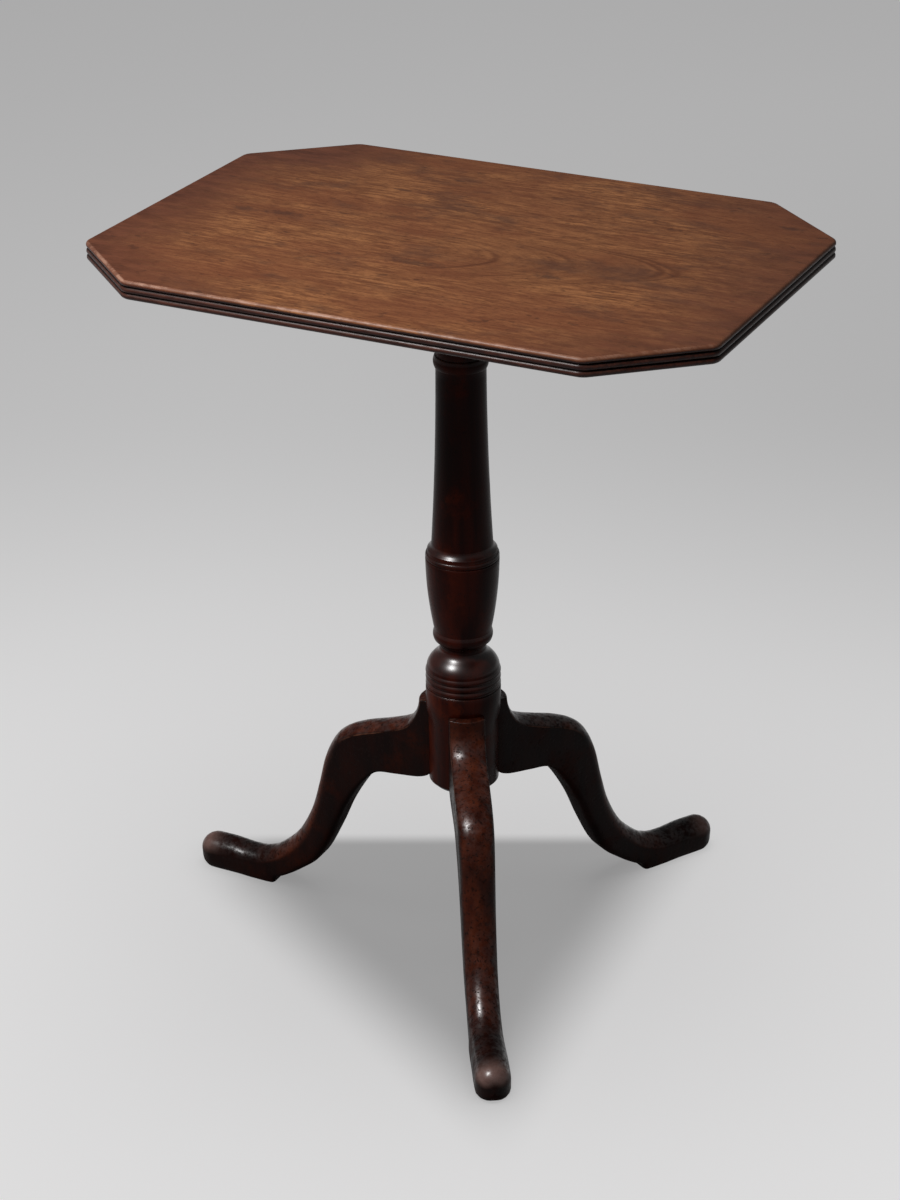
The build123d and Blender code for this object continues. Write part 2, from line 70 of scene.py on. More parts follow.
# Mouldings above the drum: radius and height at the head of each, its swell, which is negative for a
# hollow, and the number of steps in its curve. A straight run has no swell and one step.
mouldings = {
    "lower reed": (34.5, 275.5, 1.2, 10),
    "middle reed": (34.5, 282, 1.2, 10),
    "upper reed": (34.5, 288.5, 1.2, 10),
    "bulb": (25.4, 303.5, 2.5, 10),
    "cove": (27.0, 318.5, -4.2, 10),
    "ring": (27.0, 329, 1.3, 10),
    "vase": (34.6, 402.5, 1.75, 16),
    "collar quirk": (33.7, 402.6, 0, 1),
    "collar": (33.7, 407.9, 0.9, 10),
    "fillet quirk": (32.8, 408, 0, 1),
    "fillet": (32.8, 411.5, 0, 1),
    "hollow": (28.7, 418.3, -0.9, 6),
    "shaft": (23.1, 591.5, -1.2, 20),
    "astragal quirk": (23.9, 591.6, 0, 1),
    "astragal": (23.9, 603, 1.4, 10),
    "neck quirk": (22.5, 603.1, 0, 1),
    "neck": (22.5, 639, 0, 1),
    "flare": (31, 655, -1.6, 10),
    "rim": (31, 661, 0, 1),
    "shoulder": (17, 661, 0, 1),
    "tenon": (17, 692.7, 0, 1),
    "tenon end": (0, 692.7, 0, 1),
}


def bow(start, end, swell, steps):
    """Points from start to end of a profile, bowed outwards by swell, or hollowed where it is negative."""
    points = []
    for i in range(1, steps + 1):
        t = i / steps
        radius = start[0] + (end[0] - start[0]) * t + swell * 4 * t * (1 - t)
        points.append((radius, start[1] + (end[1] - start[1]) * t))
    return points


def turned(name, profile, steps):
    """A solid of revolution about the Z axis: one point is extruded along the profile and spun round."""
    bpy.ops.object.select_all(action="DESELECT")
    bpy.ops.mesh.primitive_plane_add(size=mm, location=(0, 0, 0))
    piece = bpy.context.active_object
    piece.name = name
    bpy.ops.object.mode_set(mode="EDIT")
    bpy.ops.mesh.merge(type="CENTER")
    radius, height = profile[0]
    bpy.ops.transform.translate(value=(radius * mm, 0, height * mm))
    for (near, low), (far, high) in zip(profile, profile[1:]):
        move = {"value": ((far - near) * mm, 0, (high - low) * mm)}
        bpy.ops.mesh.extrude_region_move(TRANSFORM_OT_translate=move)
    bpy.ops.mesh.select_all(action="SELECT")
    bpy.ops.mesh.spin(steps=steps, angle=2 * pi, center=(0, 0, 0), axis=(0, 0, 1))
    bpy.ops.mesh.select_all(action="SELECT")
    bpy.ops.mesh.remove_doubles(threshold=turning_weld * mm)
    bpy.ops.mesh.normals_make_consistent(inside=False)
    bpy.ops.object.mode_set(mode="OBJECT")
    return piece


def ease_edges(piece, width, segments=2, angle=30):
    """Takes the sharpness off a piece's edges, as years of dusting do, and shades it smooth between them."""
    bpy.ops.object.select_all(action="DESELECT")
    piece.select_set(True)
    bpy.context.view_layer.objects.active = piece
    bpy.ops.object.modifier_add(type="BEVEL")
    bevel = piece.modifiers[-1]
    bevel.width = width * mm
    bevel.segments = segments
    bevel.limit_method = "ANGLE"
    bevel.angle_limit = radians(angle)
    bpy.ops.object.modifier_apply(modifier=bevel.name)
    bpy.ops.object.shade_smooth_by_angle(angle=radians(angle))


column_profile = list(drum_profile)
for head_radius, head_height, swell, steps in mouldings.values():
    column_profile += bow(column_profile[-1], (head_radius, head_height), swell, steps)
column = turned("turned_column", column_profile, turning_steps)
ease_edges(column, column_easing)
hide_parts("column")
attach(column, "stand")


class Socket:
    """A shader socket. Sums and products of it with numbers or other sockets become Math nodes."""

    def __init__(self, socket):
        self.socket = socket

    def node(self, kind, settings, inputs, output=0):
        """A node of the same material: its settings first, then the values or links of its sockets."""
        tree = self.socket.id_data
        made = tree.nodes.new(kind)
        for name, value in settings.items():
            setattr(made, name, value)
        for name, value in inputs.items():
            if isinstance(value, Socket):
                tree.links.new(value.socket, made.inputs[name])
            else:
                made.inputs[name].default_value = value
        return Socket(made.outputs[output])

    def math(self, operation, first, second):
        return self.node("ShaderNodeMath", {"operation": operation}, {0: first, 1: second})

    def __add__(self, other):
        return self.math("ADD", self, other)

    def __radd__(self, other):
        return self.math("ADD", other, self)

    def __sub__(self, other):
        return self.math("SUBTRACT", self, other)

    def __rsub__(self, other):
        return self.math("SUBTRACT", other, self)

    def __mul__(self, other):
        return self.math("MULTIPLY", self, other)

    def __rmul__(self, other):
        return self.math("MULTIPLY", other, self)

    def __truediv__(self, other):
        return self.math("DIVIDE", self, other)

    def __rtruediv__(self, other):
        return self.math("DIVIDE", other, self)

    def __abs__(self):
        return self.math("ABSOLUTE", self, 0)

    def least(self, other):
        """The smaller of this and another value."""
        return self.math("MINIMUM", self, other)

    def band(self, low, high):
        """0 below low and 1 above high, with a soft step between them."""
        limits = {"Value": self, "From Min": low, "From Max": high}
        return self.node("ShaderNodeMapRange", {"interpolation_type": "SMOOTHSTEP"}, limits)

    def stretched(self, turn, scale):
        """This place, turned and scaled so that a pattern lies along the grain."""
        places = {"Vector": self, "Rotation": turn, "Scale": scale}
        return self.node("ShaderNodeMapping", {"vector_type": "POINT"}, places)

    def noise(self, scale, detail, roughness):
        """Cloudy variation between 0 and 1 at this place."""
        values = {"Vector": self, "Scale": scale, "Detail": detail, "Roughness": roughness}
        return self.node("ShaderNodeTexNoise", {}, values)

    def mixed(self, first, second):
        """The first colour where this is 0 and the second where it is 1."""
        return self.node("ShaderNodeMix", {"data_type": "RGBA"}, {0: self, 6: first, 7: second}, 2)

    def part(self, axis):
        """One coordinate of this place: 0 for X, 1 for Y, 2 for Z."""
        return self.node("ShaderNodeSeparateXYZ", {}, {0: self}, axis)


unturned = (0, 0, 0)
coat_roughness = 0.3


def start_finish(name):
    """A new material with its shader, and the place on the piece that its patterns read."""
    finish = bpy.data.materials.new(name)
    finish.use_nodes = True
    shader = finish.node_tree.nodes["Principled BSDF"]
    coordinates = finish.node_tree.nodes.new("ShaderNodeTexCoord")
    return finish, shader, Socket(coordinates.outputs["Object"])


def apply_finish(shader, colour, roughness, height, strength, distance, polish=None):
    """Links a colour, a roughness and a height map to the shader, and a coat where the piece is polished."""
    settings = {"Strength": strength, "Distance": distance, "Height": height}
    bump = height.node("ShaderNodeBump", {}, settings)
    links = shader.id_data.links
    links.new(colour.socket, shader.inputs["Base Color"])
    links.new(roughness.socket, shader.inputs["Roughness"])
    links.new(bump.socket, shader.inputs["Normal"])
    if polish:
        links.new(polish.socket, shader.inputs["Coat Weight"])
        shader.inputs["Coat Roughness"].default_value = coat_roughness


def dark_mahogany(name):
    """Old dark-polished mahogany: near black, with red-brown showing through where it is worn."""
    near_black, red_brown = (0.007, 0.0008, 0.0004, 1), (0.024, 0.0027, 0.0008, 1)
    worn_red, fleck_black = (0.052, 0.0072, 0.002, 1), (0.004, 0.0016, 0.0012, 1)
    finish, shader, place = start_finish(name)
    along = place.stretched(unturned, (70, 70, 5))
    streaks = along.noise(1, 6, 0.6)
    pores = along.noise(4, 3, 0.7)
    worn = place.noise(26, 5, 0.62)
    flecks = place.noise(260, 3, 0.6).band(0.58, 0.7)
    stained = streaks.band(0.32, 0.7).mixed(near_black, red_brown)
    rubbed = (worn.band(0.5, 0.72) * 0.7).mixed(stained, worn_red)
    colour = (flecks * 0.6).mixed(rubbed, fleck_black)
    roughness = 0.26 + 0.16 * worn.band(0.4, 0.7) + 0.1 * flecks
    height = pores * 0.3 + worn * 0.5
    facing_up = place.node("ShaderNodeNewGeometry", {}, {}, "Normal").part(2)
    apply_finish(shader, colour, roughness, height, 0.25, 0.3 * mm, facing_up.band(0.1, 0.5))
    shader.inputs["Specular IOR Level"].default_value = 0.04
    return finish


column.data.materials.append(dark_mahogany("dark_mahogany_column"))


# Legs: three cabriole legs sawn from plank and shaped with spokeshave and rasp, each slid up into the
# drum on a dovetail and glued. Hands and feet have rubbed the crowns red, and the sides are near black.
leg_turns = {"leg_left": 180, "leg_front": -58.8, "leg_right": 58.8}

# Sections from the ear to the toe: reach and height of the crown, reach and height of the under edge,
# half the width, the crown's rise, and the rounding of the lower and of the upper edges.
leg_sections = (
    (43.0, 250.0, 27.0, 250.0, 16.0, 5.4, 1.0, 0.8),
    (44.0, 249.0, 27.0, 249.0, 17.0, 5.8, 1.0, 0.9),
    (44.4, 245.0, 27.0, 238.0, 17.0, 5.8, 2.0, 1.2),
    (45.4, 239.5, 27.0, 222.0, 17.0, 5.6, 2.0, 1.4),
    (48.5, 232.0, 27.0, 202.0, 17.0, 5.4, 2.0, 1.6),
    (56.0, 222.3, 27.0, 176.0, 17.0, 5.2, 2.0, 1.8),
    (68.0, 215.6, 38.0, 166.2, 17.0, 5.0, 2.0, 1.8),
    (88.0, 208.4, 64.0, 162.4, 17.0, 5.0, 2.0, 1.8),
    (110.0, 201.2, 84.0, 160.0, 17.0, 5.4, 2.2, 2.2),
    (127.5, 192.5, 93.5, 154.5, 16.9, 6.2, 3.0, 3.0),
    (139.0, 180.5, 100.5, 147.0, 16.8, 7.2, 4.0, 4.0),
    (149.5, 157.5, 112.0, 131.0, 16.5, 8.6, 5.5, 4.5),
    (157.3, 127.0, 126.0, 106.0, 16.2, 10.2, 6.5, 4.0),
    (167.3, 93.5, 140.0, 73.5, 15.9, 11.4, 7.0, 3.5),
    (184.5, 61.5, 157.5, 40.5, 15.5, 12.6, 7.0, 3.0),
    (208.0, 39.2, 179.0, 21.8, 15.3, 13.4, 6.5, 2.5),
    (222.0, 32.2, 196.0, 10.6, 15.4, 13.8, 6.0, 2.0),
    (229.0, 30.3, 205.5, 5.8, 15.5, 14.0, 5.6, 2.0),
    (232.0, 29.9, 208.3, 2.6, 15.6, 14.1, 5.6, 2.0),
    (235.0, 29.6, 210.0, -3.5, 15.7, 14.2, 5.0, 2.0),
    (247.0, 29.4, 222.0, -4.0, 16.0, 14.8, 6.0, 1.8),
    (265.0, 31.3, 249.0, -4.0, 16.5, 15.8, 9.5, 1.4),
    (282.4, 31.5, 277.0, -4.0, 16.65, 16.4, 9.5, 1.0),
    (288.6, 30.3, 285.5, -3.5, 15.44, 15.3, 9.5, 0.8),
    (293.9, 26.8, 291.8, -1.2, 11.98, 11.9, 8.0, 0.5),
    (297.3, 22.1, 296.0, 2.6, 7.3, 7.25, 5.2, 0.3),
    (298.8, 18.0, 298.2, 7.0, 2.3, 2.28, 1.9, 0.1),
    (299.0, 15.5, 298.9, 11.0, 0.02, 0.019, 0.01, 0.005),
)
leg_steps = 5
lower_steps, upper_steps, crown_steps = 4, 4, 6
leg_weld = 0.06
leg_crease = 40


def between(rows, i, t):
    """The section a part t of the way from row i to the next, on a smooth curve through all the rows."""
    before, start = Vector(rows[max(i - 1, 0)]), Vector(rows[i])
    end, after = Vector(rows[i + 1]), Vector(rows[min(i + 2, len(rows) - 1)])
    bend = 2 * before - 5 * start + 4 * end - after
    turn_out = 3 * (start - end) + after - before
    return start + 0.5 * t * (end - before + t * (bend + t * turn_out))


def section_points(section):
    """Points round one section: from the middle of the under edge, up one side, over the crown and back."""
    crown_reach, crown_z, under_reach, under_z, half, rise, lower, upper = section
    foot = Vector((under_reach, 0, under_z))
    upward = Vector((crown_reach, 0, crown_z)) - foot
    depth = upward.length
    radius = (half**2 + rise**2) / (2 * rise)
    swing = 2 * atan2(rise, half)
    points = [(0, 0)]
    for i in range(lower_steps + 1):
        turn = pi / 2 * i / lower_steps
        points.append((half - lower + lower * sin(turn), lower - lower * cos(turn)))
    crown_end = swing - upper / radius
    shoulder = Vector((half, depth - rise - upper))
    arris = Vector((half, depth - rise))
    brow = Vector((radius * sin(crown_end), depth - radius * (1 - cos(crown_end))))
    points.append((half, (lower + shoulder.y) / 2))
    for i in range(upper_steps + 1):
        t = i / upper_steps
        points.append((1 - t) ** 2 * shoulder + 2 * t * (1 - t) * arris + t**2 * brow)
    for i in range(1, crown_steps + 1):
        turn = crown_end * (1 - i / crown_steps)
        points.append((radius * sin(turn), depth - radius * (1 - cos(turn))))
    points += [(-side, up) for side, up in reversed(points[:-1])]
    return [(foot + Vector((0, side, 0)) + upward * (up / depth)) * mm for side, up in points]


leg_rings = [
    section_points(between(leg_sections, i, step / leg_steps))
    for i in range(len(leg_sections) - 1)
    for step in range(leg_steps)
]
leg_rings.append(section_points(leg_sections[-1]))
stations, round_points = len(leg_rings) - 1, len(leg_rings[0]) - 1
bpy.ops.object.select_all(action="DESELECT")
bpy.ops.mesh.primitive_grid_add(x_subdivisions=stations, y_subdivisions=round_points, size=1)
pattern_leg = bpy.context.active_object
for vertex in pattern_leg.data.vertices:
    station = round((vertex.co.x + 0.5) * stations)
    vertex.co = leg_rings[station][round((vertex.co.y + 0.5) * round_points)]
bpy.ops.object.mode_set(mode="EDIT")
bpy.ops.mesh.select_all(action="SELECT")
bpy.ops.mesh.remove_doubles(threshold=leg_weld * mm)
bpy.ops.mesh.select_all(action="SELECT")
bpy.ops.mesh.fill_holes(sides=0)
bpy.ops.mesh.select_all(action="SELECT")
bpy.ops.mesh.bisect(plane_co=(0, 0, 0), plane_no=(0, 0, 1), use_fill=True, clear_inner=True)
bpy.ops.mesh.select_all(action="SELECT")
bpy.ops.mesh.normals_make_consistent(inside=False)
bpy.ops.object.mode_set(mode="OBJECT")
bpy.ops.object.shade_smooth_by_angle(angle=radians(leg_crease))


def leg_mahogany(name):
    """Dark-polished mahogany, rubbed red along the crown, with dark flecks and dents in the polish."""
    side_black, side_brown = (0.0028, 0.0005, 0.0003, 1), (0.009, 0.0013, 0.0005, 1)
    crown_brown, crown_red = (0.024, 0.004, 0.0017, 1), (0.066, 0.0145, 0.0058, 1)
    glow_red, stain_black = (0.042, 0.0068, 0.002, 1), (0.009, 0.0032, 0.0023, 1)
    # The pale arris and toe colours are partly painted highlight.
    fleck_black, arris_pale_and_highlight = (0.006, 0.002, 0.0014, 1), (0.14, 0.054, 0.031, 1)
    toe_pale_and_highlight = (0.15, 0.088, 0.076, 1)
    finish, shader, place = start_finish(name)
    unwrapped = place.node("ShaderNodeTexCoord", {}, {}, "UV")
    along_leg, round_leg = unwrapped.part(0), unwrapped.part(1)
    off_crown = abs(round_leg - 0.5)
    streaks = place.stretched(unturned, (70, 70, 14)).noise(1, 6, 0.6)
    worn = place.noise(30, 5, 0.62)
    flecks = place.noise(330, 3, 0.6).band(0.55, 0.66)
    specks = place.noise(900, 2, 0.5)
    stains = place.noise(85, 4, 0.65)

    on_crown = 1 - (off_crown + 0.06 * (worn - 0.5)).band(0.15, 0.26)
    crown = on_crown * (1 - along_leg.band(0.45, 0.75)) * (0.5 + 0.5 * along_leg.band(0.08, 0.2))
    dark = streaks.band(0.3, 0.72).mixed(side_black, side_brown)
    glow = (worn.band(0.5, 0.75) * (0.3 + 0.3 * crown)).mixed(dark, glow_red)
    rubbed = streaks.band(0.28, 0.75).mixed(crown_brown, crown_red)
    red = (crown * (0.4 + 0.6 * worn.band(0.34, 0.6))).mixed(glow, rubbed)
    stained = (stains.band(0.54, 0.7) * (0.25 + 0.55 * crown)).mixed(red, stain_black)
    flecked = (flecks * 0.8).mixed(stained, fleck_black)

    # A pale line along the arris of the upper leg: partly rubbed wood, partly a painted highlight.
    arris = 1 - abs(off_crown - 0.25).band(0.004, 0.03)
    arris_rub_and_highlight = arris * (1 - along_leg.band(0.3, 0.42)) * worn.band(0.42, 0.62)
    edged = (arris_rub_and_highlight * 0.5).mixed(flecked, arris_pale_and_highlight)
    # A pale patch on top of the toe: partly rubbed wood, partly a painted highlight.
    toe_highlight_run = along_leg.band(0.78, 0.84) * (1 - along_leg.band(0.87, 0.97))
    on_toe_highlight = toe_highlight_run * (1 - off_crown.band(0.1, 0.2))
    colour = (on_toe_highlight * (0.3 + 0.8 * stains)).mixed(edged, toe_pale_and_highlight)

    behind = off_crown.band(0.3, 0.42)
    roughness = 0.26 + 0.2 * worn.band(0.4, 0.7) + 0.16 * flecks + 0.06 * specks + 0.4 * behind
    height = worn * 0.6 - flecks * 0.6 - stains.band(0.6, 0.8) * 1.6 + specks * 0.12
    facing_up = place.node("ShaderNodeNewGeometry", {}, {}, "Normal").part(2)
    smeared = place.noise(150, 4, 0.7).band(0.36, 0.6)
    polish = facing_up.band(0.15, 0.7) * (0.12 + 0.88 * smeared) * (1 - 0.85 * flecks)
    apply_finish(shader, colour, roughness, height, 0.5, 0.35 * mm, polish)
    shader.inputs["Specular IOR Level"].default_value = 0.05
    return finish


leg_wood = leg_mahogany("rubbed_mahogany")
for leg_name, leg_turn in leg_turns.items():
    bpy.ops.object.select_all(action="DESELECT")
    pattern_leg.select_set(True)
    bpy.context.view_layer.objects.active = pattern_leg
    bpy.ops.object.duplicate()
    leg = bpy.context.active_object
    leg.name = "cabriole_" + leg_name
    bpy.ops.object.mode_set(mode="EDIT")
    bpy.ops.mesh.select_all(action="SELECT")
    bpy.ops.transform.rotate(value=-radians(leg_turn), orient_axis="Z", center_override=(0, 0, 0))
    bpy.ops.object.mode_set(mode="OBJECT")
    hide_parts(leg_name)
    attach(leg, "stand")
    leg.data.materials.append(leg_wood)
bpy.ops.object.select_all(action="DESELECT")
pattern_leg.select_set(True)
bpy.ops.object.delete()


# Pivot block and bearers: plain mahogany under the top, planed and left unpolished. The block is wedged
# on the column's tenon, and the bearers turn on its two dowels and are screwed to the top with steel.
copy_weld = 0.005
flat_within = 0.5
wood_easing = 0.8


def copy_of(node, name):
    """A copy of a CAD solid as a piece of its own, with its loose triangles merged."""
    bpy.ops.object.select_all(action="DESELECT")
    solid = frame["nodes"][node]
    solid.select_set(True)
    bpy.context.view_layer.objects.active = solid
    bpy.ops.object.duplicate()
    piece = bpy.context.active_object
    piece.name = name
    del piece["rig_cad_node"]
    piece.data.materials.clear()
    bpy.ops.object.mode_set(mode="EDIT")
    bpy.ops.mesh.select_all(action="SELECT")
    bpy.ops.mesh.remove_doubles(threshold=copy_weld * mm)
    bpy.ops.object.mode_set(mode="OBJECT")
    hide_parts(node)
    return piece


def eased_copy(node, name, width):
    """A copy of a CAD solid with its flat faces made whole and its edges eased."""
    piece = copy_of(node, name)
    bpy.ops.object.mode_set(mode="EDIT")
    bpy.ops.mesh.select_all(action="SELECT")
    bpy.ops.mesh.dissolve_limited(angle_limit=radians(flat_within))
    bpy.ops.object.mode_set(mode="OBJECT")
    ease_edges(piece, width)
    return piece


def finish_solid(node, finish):
    """Gives a CAD solid that is shown as it is a material of its own."""
    solid = frame["nodes"][node]
    solid.data.materials.clear()
    solid.data.materials.append(finish)


def bare_mahogany(name):
    """Unpolished mahogany, dry and grey-brown, with open grain along its length."""
    grain_dark, grain_light = (0.05, 0.02, 0.01, 1), (0.12, 0.05, 0.024, 1)
    stain_dark = (0.03, 0.013, 0.008, 1)
    finish, shader, place = start_finish(name)
    along = place.stretched(unturned, (6, 80, 80))
    streaks = along.noise(1, 6, 0.6)
    pores = along.noise(4, 3, 0.7)
    stains = place.noise(14, 4, 0.6)
    brown = streaks.band(0.3, 0.7).mixed(grain_dark, grain_light)
    colour = (stains.band(0.45, 0.7) * 0.6).mixed(brown, stain_dark)
    roughness = 0.62 + 0.2 * stains
    apply_finish(shader, colour, roughness, pores * 0.7 + stains * 0.3, 0.4, 0.5 * mm)
    return finish


def dull_steel(name):
    """Steel blued and dulled by age, with specks of rust."""
    steel_grey, rust_brown = (0.2, 0.195, 0.19, 1), (0.075, 0.036, 0.02, 1)
    finish, shader, place = start_finish(name)
    rust = place.noise(260, 5, 0.65)
    colour = rust.band(0.5, 0.72).mixed(steel_grey, rust_brown)
    roughness = 0.36 + 0.4 * rust.band(0.45, 0.7)
    apply_finish(shader, colour, roughness, rust, 0.3, 0.1 * mm)
    shader.inputs["Metallic"].default_value = 0.9
    return finish


frame_wood = bare_mahogany("bare_mahogany")
for node, body in (("pivot_block", "stand"), ("bearer_front", "top"), ("bearer_back", "top")):
    piece = eased_copy(node, "planed_" + node, wood_easing)
    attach(piece, body)
    piece.data.materials.append(frame_wood)
finish_solid("tenon_wedge", frame_wood)
steel = dull_steel("dull_steel")
finish_solid("bearer_screws", steel)


# Table top: one wide board of mahogany with four canted corners, its edge worked with a moulding plane
# into three reeds. The polish has mellowed to golden brown, with dark marks and worn edges; a highlight is
# painted along the top arris and the reeds, and shade in the quirks between them.
board_top, board_foot = 710, 693
board_half = (300, 216)
cant_middle = (257, 178.5)
cant_facing = (0.6573, 0.7537)
reed_count, reed_steps = 3, 10
reed_bulge, reed_radius, reed_swing = 2.2, 2.925, radians(75.6)
reed_depth = (board_top - board_foot) / reed_count
quirk_half = (board_half[0] - reed_bulge, board_half[1] - reed_bulge)
corner_round, corner_steps = 4.5, 6
rim_insets = (1.2, 6)
board_crease = 35

bpy.ops.object.select_all(action="DESELECT")
bpy.ops.mesh.primitive_plane_add(size=2 * mm, location=(0, 0, 0))
table_top = bpy.context.active_object
table_top.name = "reeded_top"
bpy.ops.object.mode_set(mode="EDIT")
bpy.ops.transform.resize(value=(*quirk_half, 1))
bpy.ops.transform.translate(value=(0, 0, board_foot * mm))
for end in (-1, 1):
    for side in (-1, 1):
        facing = Vector((end * cant_facing[0], side * cant_facing[1], 0))
        corner = Vector((end * cant_middle[0], side * cant_middle[1], board_foot)) - reed_bulge * facing
        bpy.ops.mesh.select_all(action="SELECT")
        bpy.ops.mesh.bisect(plane_co=corner * mm, plane_no=facing, clear_outer=True)
bpy.ops.mesh.select_all(action="SELECT")
bpy.ops.mesh.bevel(offset=corner_round * mm, segments=corner_steps, affect="VERTICES")
bpy.ops.mesh.select_all(action="SELECT")
height = board_foot
for reed in range(reed_count):
    reed_middle = board_foot + (reed + 0.5) * reed_depth
    for step in range(1, reed_steps + 1):
        next_height = reed_middle + reed_radius * sin(reed_swing * (2 * step / reed_steps - 1))
        move = {"value": (0, 0, (next_height - height) * mm)}
        bpy.ops.mesh.extrude_region_move(TRANSFORM_OT_translate=move)
        height = next_height
bpy.ops.object.mode_set(mode="OBJECT")
for vertex in table_top.data.vertices:
    outward = Vector((vertex.normal.x, vertex.normal.y, 0)).normalized()
    rise = (vertex.co.z / mm - board_foot) % reed_depth - reed_depth / 2
    bulge = sqrt(max(reed_radius**2 - rise**2, 0)) - reed_radius * cos(reed_swing)
    vertex.co += outward * max(bulge, 0) * mm
for face in table_top.data.polygons:
    face.select = abs(face.normal.z) > 0.99
bpy.ops.object.mode_set(mode="EDIT")
bpy.ops.mesh.select_mode(type="FACE")
for inset in rim_insets:
    bpy.ops.mesh.inset(thickness=inset * mm)
bpy.ops.mesh.select_mode(type="VERT")
bpy.ops.object.mode_set(mode="OBJECT")
bpy.ops.object.shade_smooth_by_angle(angle=radians(board_crease))

# The figure in the grain: the tip of its arches, their turn and curve, and how far behind the tip each
# dark line runs. Marks on the polish: place, and reach along and across the board.
figure_tip, figure_turn, figure_curve = (211 * mm, 12 * mm), radians(9), 35
figure_lines = (5, 17, 94, 163)
ink_marks = (
    (-81, -77, 7, 3.5),
    (-177, -1, 26, 8),
    (-216, -4, 16, 9),
    (-74, 150, 9, 3),
    (-109, 104, 13, 3.5),
    (110, -55, 17, 6),
    (253, 150, 15, 6),
    (122, 150, 16, 4),
    (-10, -70, 40, 8),
)


def polished_mahogany(name):
    """Faded, hand-polished mahogany with its grain along the board, dark in the reeds and bare below."""
    grain_dark, grain_golden = (0.112, 0.037, 0.013, 1), (0.295, 0.121, 0.0445, 1)
    mottle_brown, mellow_brown = (0.092, 0.029, 0.0105, 1), (0.128, 0.0425, 0.0158, 1)
    cloud_brown, figure_dark = (0.13, 0.0395, 0.0158, 1), (0.066, 0.0185, 0.0065, 1)
    smoke_dark, pore_dark = (0.066, 0.0265, 0.0155, 1), (0.052, 0.0175, 0.0075, 1)
    end_red, end_dark = (0.112, 0.035, 0.0175, 1), (0.056, 0.016, 0.0082, 1)
    ink_black, bruise_dark = (0.032, 0.014, 0.0105, 1), (0.035, 0.0125, 0.007, 1)
    # The pale arris and crest colours are partly painted highlight, and the quirk colour is painted shade.
    arris_pale_and_highlight, crest_highlight_brown = (0.285, 0.158, 0.11, 1), (0.135, 0.066, 0.05, 1)
    reed_black, reed_red = (0.01, 0.002, 0.0013, 1), (0.042, 0.0095, 0.005, 1)
    quirk_shade_black = (0.0022, 0.0012, 0.001, 1)
    under_dark, under_light = (0.045, 0.019, 0.01, 1), (0.105, 0.045, 0.022, 1)
    finish, shader, place = start_finish(name)
    x, y, z = place.part(0), place.part(1), place.part(2)
    sway = place.stretched(unturned, (3, 5, 5)).noise(1, 3, 0.5)
    bent = place.node("ShaderNodeCombineXYZ", {}, {0: x, 1: y + 0.03 * sway, 2: z})
    broad = bent.stretched(unturned, (4, 42, 42)).noise(1, 4, 0.6)
    streaks = bent.stretched(unturned, (42, 340, 340)).noise(1, 6, 0.7)
    pores = bent.stretched(unturned, (130, 1000, 1000)).noise(1, 3, 0.7)
    clouds = place.stretched(unturned, (6, 10, 10)).noise(1, 6, 0.62)
    smoke = place.stretched(unturned, (13, 26, 26)).noise(1, 5, 0.66)
    mottle = place.stretched(unturned, (32, 75, 75)).noise(1, 5, 0.68)

    subtract = {"operation": "SUBTRACT"}
    from_tip = place.node("ShaderNodeVectorMath", subtract, {0: bent, 1: (*figure_tip, 0)})
    level_figure = from_tip.stretched((0, 0, -figure_turn), (1, 1, 0))
    behind_tip, off_axis = level_figure.part(0), level_figure.part(1)
    arches = behind_tip + figure_curve * off_axis * off_axis
    arch_place = place.node("ShaderNodeCombineXYZ", {}, {0: arches, 1: off_axis})
    arch_grain = arch_place.stretched(unturned, (48, 9, 0)).noise(1, 6, 0.66)
    near_axis = 1 - abs(off_axis).band(38 * mm, 75 * mm)
    before_tip = (1 - arches.band(-6 * mm, 26 * mm)) * behind_tip.band(-250 * mm, -170 * mm)
    in_figure = near_axis * before_tip
    grain = streaks + 0.6 * in_figure * (arch_grain - streaks)
    golden = grain.band(0.36, 0.64).mixed(grain_dark, grain_golden)
    mottled = (mottle.band(0.4, 0.66) * 0.42).mixed(golden, mottle_brown)
    mellow = (broad.band(0.36, 0.7) * 0.45).mixed(mottled, mellow_brown)
    clouded = (clouds.band(0.42, 0.62) * 0.62).mixed(mellow, cloud_brown)

    lines = 0
    for line in figure_lines:
        off_line = arches + (line * mm + 0.02 * (smoke - 0.5))
        lines = (1 - abs(off_line).band(0.5 * mm, 6 * mm)) + lines
    figure = in_figure * (0.06 + 0.6 * lines * clouds.band(0.25, 0.55))
    figured = figure.mixed(clouded, figure_dark)
    smoked = (smoke.band(0.5, 0.72) * 0.65).mixed(figured, smoke_dark)
    pored = (pores.band(0.54, 0.65) * 0.75).mixed(smoked, pore_dark)

    off_middle, off_centre = abs(x), abs(y)
    to_end = board_half[0] * mm - off_middle
    to_side = board_half[1] * mm - off_centre
    cant_reach = (cant_facing[0] * cant_middle[0] + cant_facing[1] * cant_middle[1]) * mm
    to_cant = cant_reach - (cant_facing[0] * off_middle + cant_facing[1] * off_centre)
    to_edge = to_end.least(to_side).least(to_cant)
    to_tip = to_end.least(to_cant)
    hand = 0.7 + 0.25 * (1 - x.band(-0.2, 0.2))
    handled = (1 - (to_tip + 0.14 * (clouds - 0.5)).band(-10 * mm, 110 * mm)) * hand
    darkened = (0.5 * grain + 0.5 * mottle).band(0.38, 0.62).mixed(end_red, end_dark)
    edged = handled.mixed(pored, darkened)

